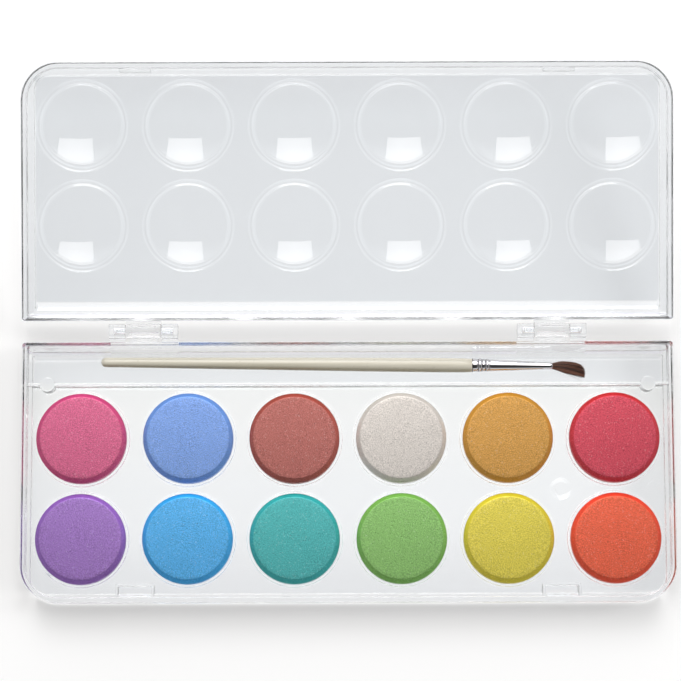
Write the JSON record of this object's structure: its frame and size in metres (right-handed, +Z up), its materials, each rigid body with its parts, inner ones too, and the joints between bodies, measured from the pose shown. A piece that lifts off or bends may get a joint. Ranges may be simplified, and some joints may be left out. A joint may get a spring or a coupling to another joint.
{
  "type": "watercolor pan set",
  "caption": "Clear hinged plastic paint box, opened flat: round pearlescent watercolor cakes in collars in the tray, dished mixing wells in the lid, and a brush lying in a trough by the hinge.",
  "frame": {"origin": "centre of the tray's flat underside", "axes": "+Z up, +Y from the tray to the hinge and the open lid, +X to the right when the tray is nearest the viewer"},
  "size_m": [0.2172, 0.1795, 0.0266],
  "materials": {
    "clear_plastic": "clear moulded polystyrene, polished",
    "paint_pink": "pressed pearlescent watercolor cake, fine granular shimmer; stands in for dry pigment",
    "paint_periwinkle": "pressed pearlescent watercolor cake, fine granular shimmer; stands in for dry pigment",
    "paint_rust": "pressed pearlescent watercolor cake, fine granular shimmer; stands in for dry pigment",
    "paint_pearl": "pressed pearlescent watercolor cake, fine granular shimmer; stands in for dry pigment",
    "paint_ochre": "pressed pearlescent watercolor cake, fine granular shimmer; stands in for dry pigment",
    "paint_crimson": "pressed pearlescent watercolor cake, fine granular shimmer; stands in for dry pigment",
    "paint_violet": "pressed pearlescent watercolor cake, fine granular shimmer; stands in for dry pigment",
    "paint_azure": "pressed pearlescent watercolor cake, fine granular shimmer; stands in for dry pigment",
    "paint_teal": "pressed pearlescent watercolor cake, fine granular shimmer; stands in for dry pigment",
    "paint_green": "pressed pearlescent watercolor cake, fine granular shimmer; stands in for dry pigment",
    "paint_yellow": "pressed pearlescent watercolor cake, fine granular shimmer; stands in for dry pigment",
    "paint_orange": "pressed pearlescent watercolor cake, fine granular shimmer; stands in for dry pigment",
    "handle_paint": "turned wood, cream lacquer",
    "ferrule_metal": "polished seamless tube, two crimped ridges",
    "glue": "set epoxy",
    "hair": "brown pony hair"
  },
  "bodies": {
    "tray": {"tray": "clear_plastic", "paint_pink": "paint_pink", "paint_periwinkle": "paint_periwinkle", "paint_rust": "paint_rust", "paint_pearl": "paint_pearl", "paint_ochre": "paint_ochre", "paint_crimson": "paint_crimson", "paint_violet": "paint_violet", "paint_azure": "paint_azure", "paint_teal": "paint_teal", "paint_green": "paint_green", "paint_yellow": "paint_yellow", "paint_orange": "paint_orange"},
    "lid": {"lid": "clear_plastic"},
    "brush": {"brush_handle": "handle_paint", "brush_ferrule": "ferrule_metal", "brush_glue_plug": "glue", "brush_tuft": "hair"}
  },
  "joints": [
    {"name": "lid_hinge", "type": "hinge", "parent": "tray", "child": "lid", "pos_m": [0, 0.04675, 0.0091], "axis": [1, 0, 0], "range_deg": [0, 170]},
    {"name": "brush_lift", "type": "slide", "parent": "tray", "child": "brush", "axis": [0, 0, 1], "range_m": [0, 0.06]}
  ]
}
